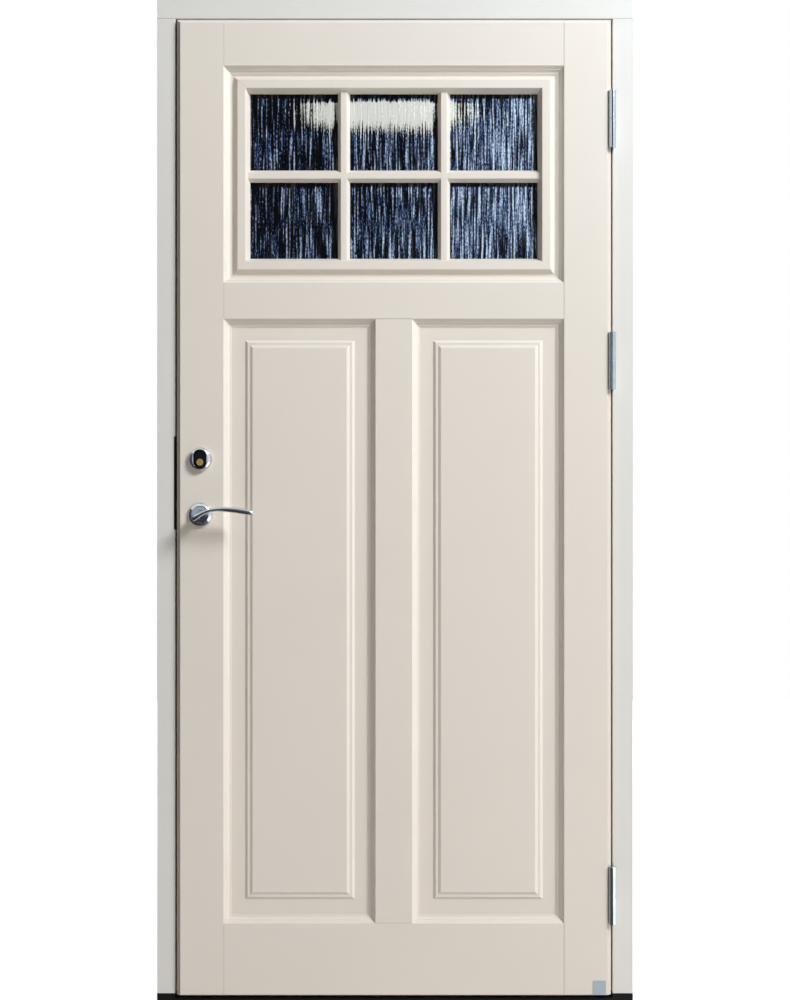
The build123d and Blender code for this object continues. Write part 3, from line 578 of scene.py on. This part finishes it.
# arm and neck are united, then set on the axis; the inner lever is the mirror of the outer one
def leverSkin(name, settings, face, outward):
    low, high = (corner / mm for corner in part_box(name))
    reach = settings["standOff"]
    seat = min(abs(high.y - face), abs(low.y - face))
    arm = bpy.data.objects.new("armTry", leverArm(settings))
    rod = rodMesh(settings["neckRadius"], 0, reach - seat, settings["neckPoints"])
    neck = bpy.data.objects.new("neckTry", rod)
    for part in (arm, neck):
        scene.collection.objects.link(part)
    smooth = arm.modifiers.new("smooth", "SUBSURF")
    smooth.levels = smooth.render_levels = settings["levels"]
    join = arm.modifiers.new("join", "BOOLEAN")
    join.operation, join.object, join.solver = "UNION", neck, "EXACT"
    mesh = evaluatedMesh(arm, name + "Skin")
    for part in (arm, neck):
        bpy.data.objects.remove(part)
    x, z = settings["axis"]
    flip = Matrix.Diagonal((1, -outward, 1, 1))
    shift = Matrix.Translation((x, face + outward * reach, z))
    mesh.transform(Matrix.Scale(mm, 4) @ shift @ flip)
    if outward > 0:
        mesh.flip_normals()
    mesh.materials.clear()
    smoothed(mesh, skinAngle)
    return addPiece(name + "Skin", mesh, finishes["handle_chrome"], "handle", (name,))


leverSkin("outer_lever", lever, leafFaces["front"], -1)
leverSkin("inner_lever", lever, leafFaces["back"], 1)

# pressed roses: radius and height steps from the rim to the bore, in millimetres
rose = {
    "rim": ((25.5, 0), (25.5, 2.2), (25.1, 3.4), (24.2, 4.8), (22.9, 6.2), (21.4, 7.5), (19.8, 8.6),
            (18.4, 9.2), (17.0, 9.5)),
    "boreEdge": 0.6, "steps": 96, "bores": {"outer_rose": 8.9, "inner_rose": 8.9, "thumbturn_rose": 7.4},
}


def middleOf(name):
    low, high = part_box(name)
    return (low.x + high.x) / 2, (low.z + high.z) / 2


# one closed row of points round an axis that runs through the leaf; radii in millimetres
def ringRow(form, centre, y, radii):
    row = []
    for step, radius in enumerate(radii):
        turn = 2 * math.pi * step / len(radii)
        across, up = radius * mm * math.cos(turn), radius * mm * math.sin(turn)
        row.append(form.verts.new((centre[0] + across, y, centre[1] + up)))
    return row


# join rows of points into a closed chrome skin that stands for its node
def closedSkin(name, form, rings):
    for a, b in zip(rings, rings[1:] + rings[:1]):
        for i in range(len(a)):
            form.faces.new((a[i - 1], a[i], b[i], b[i - 1]))
    bmesh.ops.recalc_face_normals(form, faces=form.faces)
    mesh = meshFrom(form, name + "Skin")
    smoothed(mesh, skinAngle)
    return addPiece(name + "Skin", mesh, finishes["handle_chrome"], bodyOf[name], (name,))


def turnedSkin(name, settings):
    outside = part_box(name)[0].y < leafFaces["front"] * mm
    base, outward = (leafFaces["front"], -1) if outside else (leafFaces["back"], 1)
    bore, edge, height = settings["bores"][name], settings["boreEdge"], settings["rim"][-1][1]
    profile = settings["rim"] + ((bore + edge, height), (bore, height - edge), (bore, 0))
    form = bmesh.new()
    rings = [ringRow(form, middleOf(name), (base + outward * rise) * mm, [radius] * settings["steps"])
             for radius, rise in profile]
    return closedSkin(name, form, rings)


for name in rose["bores"]:
    turnedSkin(name, rose)

# cylinder ring, a dome from a round rim to an oval mouth: share of the way in and height of each row;
# shares past 1 go on from the mouth to the bore
cylinderRing = {
    "rim": 24.5, "mouth": (13.25, 19.5), "bore": (10.6, 17.1), "steps": 128,
    "rows": ((0, 0), (0, 3.0), (0.03, 4.4), (0.1, 6.2), (0.22, 8.2), (0.4, 10.0), (0.62, 11.3), (0.84, 11.9),
             (0.95, 11.9), (1, 11.4), (1.2, 9.6), (2, 4), (2, 0)),
}


def ovalRadius(half, turn):
    wide, tall = half
    across, up = abs(math.cos(turn)), abs(math.sin(turn))
    straight = tall - wide
    if up * wide <= straight * across:
        return wide / across
    return straight * up + math.sqrt(wide ** 2 - (straight * across) ** 2)


def domeSkin(name, settings):
    turns = [2 * math.pi * step / settings["steps"] for step in range(settings["steps"])]
    rim = [settings["rim"]] * settings["steps"]
    mouth, bore = ([ovalRadius(settings[oval], turn) for turn in turns] for oval in ("mouth", "bore"))
    form = bmesh.new()
    rings = []
    for share, height in settings["rows"]:
        outer, inner, part = (rim, mouth, share) if share <= 1 else (mouth, bore, share - 1)
        radii = [a + (b - a) * part for a, b in zip(outer, inner)]
        rings.append(ringRow(form, middleOf(name), (leafFaces["front"] - height) * mm, radii))
    return closedSkin(name, form, rings)


domeSkin("cylinder_ring", cylinderRing)
print("levers, roses and cylinder ring skinned")


# rain glass outer pane, a Geometry Nodes tree with its sizes as inputs
rainPane = {
    "Relief": 1.1 * mm, "Streaks": 310.0, "Stretch": 0.032, "Wander": 0.05, "Sway": 14.0, "Drift": 20.0,
    "Trough": 0.3, "Crest": 0.7, "Roughness": 0.55, "Across": 600, "Up": 60, "Seed": 4.0,
}
paneAngle = math.radians(60)
shapeOuts = [("Geometry", "NodeSocketGeometry")]


def spotAt(tree, x=0.0, y=0.0, z=0.0):
    return put(tree, "ShaderNodeCombineXYZ", {0: x, 1: y, 2: z}).outputs[0]


# the end of every tree: real faces with their finish
def finishTree(tree, shape, given, out):
    real = put(tree, "GeometryNodeRealizeInstances", {"Geometry": shape}).outputs[0]
    dressed = put(tree, "GeometryNodeSetMaterial", {"Geometry": real, "Material": given["Finish"]}).outputs[0]
    tree.links.new(dressed, out["Geometry"])


def rainTree():
    tree, given, out = newTree("rainPane", "GeometryNodeTree", [
        ("Size", "NodeSocketVector"), ("Centre", "NodeSocketVector"), ("Relief", "NodeSocketFloat"),
        ("Streaks", "NodeSocketFloat"), ("Stretch", "NodeSocketFloat"), ("Wander", "NodeSocketFloat"),
        ("Sway", "NodeSocketFloat"), ("Drift", "NodeSocketFloat"), ("Trough", "NodeSocketFloat"),
        ("Crest", "NodeSocketFloat"), ("Roughness", "NodeSocketFloat"), ("Across", "NodeSocketInt"),
        ("Up", "NodeSocketInt"), ("Seed", "NodeSocketFloat"), ("Finish", "NodeSocketMaterial")], shapeOuts)
    slab = put(tree, "GeometryNodeMeshCube", {"Size": given["Size"], "Vertices X": given["Across"],
                                              "Vertices Y": 2, "Vertices Z": given["Up"]}).outputs["Mesh"]
    axes = put(tree, "ShaderNodeSeparateXYZ", {0: put(tree, "GeometryNodeInputPosition").outputs[0]}).outputs
    sway = noise(tree, spotAt(tree, axes[0], given["Seed"], axes[2]), given["Sway"])
    drift = calc(tree, "MULTIPLY", calc(tree, "SUBTRACT", sway, noiseMiddle), given["Wander"])
    across = calc(tree, "MULTIPLY", axes[0], given["Streaks"])
    across = calc(tree, "ADD", across, calc(tree, "MULTIPLY", drift, given["Drift"]))
    up = calc(tree, "MULTIPLY", calc(tree, "MULTIPLY", axes[2], given["Streaks"]), given["Stretch"])
    wave = noise(tree, spotAt(tree, across, given["Seed"], up), 1.0, rough=given["Roughness"])
    streak = rescale(tree, wave, given["Trough"], given["Crest"])
    mark = {"Geometry": slab, "Name": "streak", "Value": streak}
    marked = put(tree, "GeometryNodeStoreNamedAttribute", mark, data_type="FLOAT", domain="POINT").outputs[0]
    front = put(tree, "FunctionNodeCompare", {0: axes[1], 1: 0.0},
                data_type="FLOAT", operation="LESS_THAN").outputs[0]
    sunk = calc(tree, "MULTIPLY", calc(tree, "SUBTRACT", 1.0, streak), given["Relief"])
    cast = put(tree, "GeometryNodeSetPosition", {"Geometry": marked, "Selection": front,
                                                 "Offset": spotAt(tree, y=sunk)}).outputs[0]
    moved = put(tree, "GeometryNodeTransform", {"Geometry": cast, "Translation": given["Centre"]}).outputs[0]
    finishTree(tree, moved, given, out)
    return tree


# run a tree on a base mesh and keep the result as a plain mesh
def grown(name, tree, base, values):
    holder = bpy.data.objects.new(name + "Try", base)
    scene.collection.objects.link(holder)
    maker = holder.modifiers.new(name, "NODES")
    maker.node_group = tree
    for item in tree.interface.items_tree:
        if item.in_out == "INPUT" and item.name in values:
            maker[item.identifier] = values[item.name]
    mesh = evaluatedMesh(holder, name)
    holder.modifiers.clear()
    bpy.data.objects.remove(holder)
    return mesh


low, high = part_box("glass_outer")
rainPane.update(Size=high - low, Centre=(low + high) / 2, Finish=rainFinish)
paneMesh = grown("rainPane", rainTree(), bpy.data.meshes.new("rainBase"), rainPane)
smoothed(paneMesh, paneAngle)
addPiece("rainPane", paneMesh, rainFinish, "leaf", ("glass_outer",))
print("rain pane:", len(paneMesh.polygons), "faces")

# countersunk screws of the hinges, lock faceplate and strike; crown and cross are shares of the radius
screws = {
    "Radius": 3.9 * mm, "Dome": 0.5 * mm, "Sunk": 1.2 * mm, "Crown": 0.72,
    "Cross Length": 1.1, "Cross Width": 0.26, "Recess": 1.5 * mm, "Points": 28,
}
# screw places in millimetres: how far behind the pin and at what share of the hinge's height
screwPlaces = {
    "pinDepth": -71, "leaf": 448.5, "frame": 452.5, "onHinge": ((24, 0.18), (40, 0.5), (24, 0.82)),
    "plates": (("lock_faceplate", "leaf", -1), ("strike_plate", "frame", 1)), "fromEnd": 9, "twist": 0.3,
}


def screwTree():
    tree, given, out = newTree("countersunkScrews", "GeometryNodeTree", [
        ("Geometry", "NodeSocketGeometry"), ("Radius", "NodeSocketFloat"), ("Dome", "NodeSocketFloat"),
        ("Sunk", "NodeSocketFloat"), ("Crown", "NodeSocketFloat"), ("Cross Length", "NodeSocketFloat"),
        ("Cross Width", "NodeSocketFloat"), ("Recess", "NodeSocketFloat"), ("Points", "NodeSocketInt"),
        ("Finish", "NodeSocketMaterial")], shapeOuts)
    radius = given["Radius"]
    rim = put(tree, "GeometryNodeMeshCone", {
        "Vertices": given["Points"], "Radius Top": calc(tree, "MULTIPLY", radius, given["Crown"]),
        "Radius Bottom": radius, "Depth": given["Dome"]}).outputs["Mesh"]
    shank = put(tree, "GeometryNodeMeshCylinder", {
        "Vertices": given["Points"], "Radius": radius, "Depth": given["Sunk"]}).outputs["Mesh"]
    under = spotAt(tree, z=calc(tree, "MULTIPLY", given["Sunk"], -0.5))
    shank = put(tree, "GeometryNodeTransform", {"Geometry": shank, "Translation": under}).outputs[0]
    head = put(tree, "GeometryNodeMeshBoolean", operation="UNION", solver="EXACT")
    for part in (rim, shank):
        tree.links.new(part, head.inputs["Mesh 2"])
    long = calc(tree, "MULTIPLY", radius, given["Cross Length"])
    thin = calc(tree, "MULTIPLY", radius, given["Cross Width"])
    cross = put(tree, "GeometryNodeMeshBoolean", {"Mesh 1": head.outputs[0]},
                operation="DIFFERENCE", solver="EXACT")
    for wide, tall in ((long, thin), (thin, long)):
        bar = put(tree, "GeometryNodeMeshCube", {"Size": spotAt(tree, wide, tall, given["Recess"])})
        tree.links.new(bar.outputs["Mesh"], cross.inputs["Mesh 2"])
    facing = put(tree, "GeometryNodeInputNamedAttribute", {"Name": "facing"}, data_type="FLOAT_VECTOR")
    many = put(tree, "GeometryNodeInstanceOnPoints", {
        "Points": given["Geometry"], "Instance": cross.outputs[0], "Rotation": facing.outputs[0]}).outputs[0]
    finishTree(tree, many, given, out)
    return tree


def screwSpots(settings):
    spots = {"leaf": [], "frame": []}
    for level in ("bottom", "middle", "top"):
        for body, side in (("leaf", 1), ("frame", -1)):
            low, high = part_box("hinge_%s_half_%s" % (body, level))
            for deep, rise in settings["onHinge"]:
                y = (settings["pinDepth"] + deep) * mm
                spots[body].append(((settings[body] * mm, y, low.z + (high.z - low.z) * rise), side))
    for name, body, side in settings["plates"]:
        low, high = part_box(name)
        x = low.x if side < 0 else high.x
        for z in (low.z + settings["fromEnd"] * mm, high.z - settings["fromEnd"] * mm):
            spots[body].append(((x, (low.y + high.y) / 2, z), side))
    return spots


screwMaker = screwTree()
for body, rows in screwSpots(screwPlaces).items():
    base = bpy.data.meshes.new(body + "ScrewSpots")
    base.from_pydata([spot for spot, side in rows], [], [])
    turns = base.attributes.new("facing", "FLOAT_VECTOR", "POINT")
    for i, (spot, side) in enumerate(rows):
        turns.data[i].vector = (screwPlaces["twist"] * i, side * math.pi / 2, 0)
    values = dict(screws, Finish=finishes["lock_steel"])
    addPiece(body + "Screws", grown(body + "Screws", screwMaker, base, values), None, body)
print("screws set")

# small bare plate low on the hinge side of the leaf
cornerPlate = {
    "centre": (423.5, 36.5), "size": (27, 29), "thickness": 1.0,
    "corner": 2.0, "cornerSteps": 5, "edge": 0.35, "edgeSteps": 2,
}


def plateMesh(settings):
    form = bmesh.new()
    bmesh.ops.create_cube(form, size=1.0)
    wide, tall = settings["size"]
    thick = settings["thickness"]
    bmesh.ops.scale(form, verts=form.verts, vec=(wide, thick, tall))
    corners = [e for e in form.edges if abs((e.verts[0].co - e.verts[1].co).y) > thick / 2]
    bmesh.ops.bevel(form, geom=corners, offset=settings["corner"], segments=settings["cornerSteps"],
                    profile=roundBevel, affect="EDGES")
    front = [e for e in form.edges if all(v.co.y < 0 for v in e.verts)]
    bmesh.ops.bevel(form, geom=front, offset=settings["edge"], segments=settings["edgeSteps"],
                    profile=roundBevel, affect="EDGES")
    x, z = settings["centre"]
    bmesh.ops.translate(form, verts=form.verts, vec=(x, leafFaces["front"] - thick / 2, z))
    bmesh.ops.scale(form, verts=form.verts, vec=(mm, mm, mm))
    return meshFrom(form, "cornerPlate")


addPiece("cornerPlate", plateMesh(cornerPlate), matteFinish("greyPlate", greyPlate), "leaf")
print("corner plate set")

# studio: floor, sky, lamps and cards that only mirrors see
floorLook = {"size": 9.0, "colour": tone(242, 241, 239), "roughness": 0.8, "glow": 0.8}
skyLook = {
    "level": 0.04, "warm": tone(214, 178, 132), "cool": tone(226, 234, 246),
    "lean": (0.55, 0.45), "reach": 0.8, "levels": (0.25, 1.75),
}
lamps = {
    "keyLamp": {"at": (6.6, -5.6, 7.0), "aim": (0, 0, 1.1), "size": 3.4, "power": 905,
                "colour": (0.98, 0.985, 1.0), "mirrored": True},
    "skyLamp": {"at": (1.35, -1.6, 3.0), "aim": (0.2, 0, 1.9), "size": 1.0, "power": 32,
                "colour": (0.72, 0.87, 1.0), "mirrored": True},
    "fillLamp": {"at": (-1.2, -4.5, 1.6), "aim": (0, 0, 1.0), "size": 2.5, "power": 6,
                 "colour": (1.0, 0.93, 0.82), "mirrored": False},
    "backLamp": {"at": (1.5, 3.8, 2.8), "aim": (0, 0, 1.0), "size": 2.5, "power": 120,
                 "colour": (1.0, 0.98, 0.95), "mirrored": True},
    "sideLamp": {"at": (-3.4, 4.8, 2.6), "aim": (0, 0, 1.0), "size": 2.5, "power": 150,
                 "colour": (0.98, 0.99, 1.0), "mirrored": True},
}
upright, sideways, flat = (math.pi / 2, 0, 0), (math.pi / 2, 0, math.pi / 2), (0, 0, 0)
cards = {
    "upperCard": {"at": (-0.7, -5.2, 3.2), "size": (4.4, 2.2), "turn": upright, "colour": tone(34, 38, 48)},
    "bandCard": {"at": (-0.7, -5.2, 1.5), "size": (4.4, 1.2), "turn": upright, "colour": tone(170, 180, 192)},
    "lowCard": {"at": (-0.7, -5.2, 0.1), "size": (4.4, 1.6), "turn": upright, "colour": tone(26, 34, 56)},
    "leftCard": {"at": (-3.2, -0.9, 1.0), "size": (8.6, 3.0), "turn": sideways, "colour": tone(44, 52, 68)},
    "groundCard": {"at": (-1.3, -1.2, 0.004), "size": (3.8, 6.4), "turn": flat, "colour": tone(48, 43, 38)},
    "backCard": {"at": (0.4, 5.2, 1.0), "size": (3.0, 2.4), "turn": upright, "colour": tone(60, 64, 72)},
}


# 1 for rays from the camera, from mirrors and through glass, 0 for the light that falls on the door
def seenShare(tree):
    path = put(tree, "ShaderNodeLightPath").outputs
    direct = calc(tree, "ADD", path["Is Camera Ray"], path["Is Glossy Ray"])
    return calc(tree, "ADD", direct, path["Is Transmission Ray"], clamp=True)


def floorFinish(settings):
    finish, tree, skin = newFinish("paleFloor")
    skin.inputs["Base Color"].default_value = settings["colour"]
    skin.inputs["Roughness"].default_value = settings["roughness"]
    skin.inputs["Emission Color"].default_value = (1, 1, 1, 1)
    glow = calc(tree, "MULTIPLY", seenShare(tree), settings["glow"])
    tree.links.new(glow, skin.inputs["Emission Strength"])
    return finish


def cardFinish(name, colour):
    finish, _, skin = newFinish(name)
    skin.inputs["Base Color"].default_value = (0, 0, 0, 1)
    skin.inputs["Emission Color"].default_value = colour
    skin.inputs["Emission Strength"].default_value = 1.0
    return finish


def flatCard(name, size, at, turn, finish):
    form = bmesh.new()
    bmesh.ops.create_grid(form, x_segments=1, y_segments=1, size=0.5)
    bmesh.ops.scale(form, verts=form.verts, vec=(size[0], size[1], 1))
    mesh = meshFrom(form, name)
    card = bpy.data.objects.new(name, mesh)
    card.location, card.rotation_euler = at, turn
    scene.collection.objects.link(card)
    mesh.materials.append(finish)
    return card


# warm low on the left, cool high on the right; plain white where it is seen
def makeSky(settings):
    world = bpy.data.worlds.new("studioWorld")
    world.use_nodes = True
    sky = world.node_tree
    sky.nodes.clear()
    where = put(sky, "ShaderNodeTexCoord").outputs["Generated"]
    towards = put(sky, "ShaderNodeSeparateXYZ", {0: where}).outputs
    across, up = (calc(sky, "MULTIPLY", towards[letter], share)
                  for letter, share in zip("XZ", settings["lean"]))
    lean = calc(sky, "ADD", across, up)
    reach = settings["reach"]
    level = calc(sky, "MULTIPLY", rescale(sky, lean, -reach, reach, *settings["levels"]), settings["level"])
    lit = blendColour(sky, rescale(sky, lean, -reach, reach), settings["warm"], settings["cool"])
    room = put(sky, "ShaderNodeBackground", {"Color": lit, "Strength": level}).outputs[0]
    plain = put(sky, "ShaderNodeBackground", {"Color": (1, 1, 1, 1), "Strength": 1.0}).outputs[0]
    mix = put(sky, "ShaderNodeMixShader", {0: seenShare(sky), 1: room, 2: plain}).outputs[0]
    put(sky, "ShaderNodeOutputWorld", {"Surface": mix})
    return world


def hangLamp(name, lamp):
    light = bpy.data.lights.new(name, "AREA")
    light.shape, light.size, light.energy, light.color = "DISK", lamp["size"], lamp["power"], lamp["colour"]
    holder = bpy.data.objects.new(name, light)
    holder.location = lamp["at"]
    holder.rotation_euler = (Vector(lamp["aim"]) - Vector(lamp["at"])).to_track_quat("-Z", "Y").to_euler()
    holder.visible_glossy = lamp["mirrored"]
    scene.collection.objects.link(holder)


flatCard("studioFloor", (floorLook["size"], floorLook["size"]), (0, 0, 0), flat, floorFinish(floorLook))
for name, card in cards.items():
    board = flatCard(name, card["size"], card["at"], card["turn"], cardFinish(name, card["colour"]))
    board.visible_camera = board.visible_diffuse = board.visible_shadow = board.visible_transmission = False
scene.world = makeSky(skyLook)
for name, lamp in lamps.items():
    hangLamp(name, lamp)
print("studio set")

# camera square on to the door, three metres in front of the frame
cameraSet = {"at": (0, -3.0575, 1.0465), "turn": upright, "lens": 51.92, "sensor": 36.0}
lens = bpy.data.cameras.new("doorCamera")
lens.sensor_fit, lens.sensor_height, lens.lens = "VERTICAL", cameraSet["sensor"], cameraSet["lens"]
eye = bpy.data.objects.new("doorCamera", lens)
eye.location, eye.rotation_euler = cameraSet["at"], cameraSet["turn"]
scene.collection.objects.link(eye)
scene.camera = eye

bpy.context.view_layer.update()
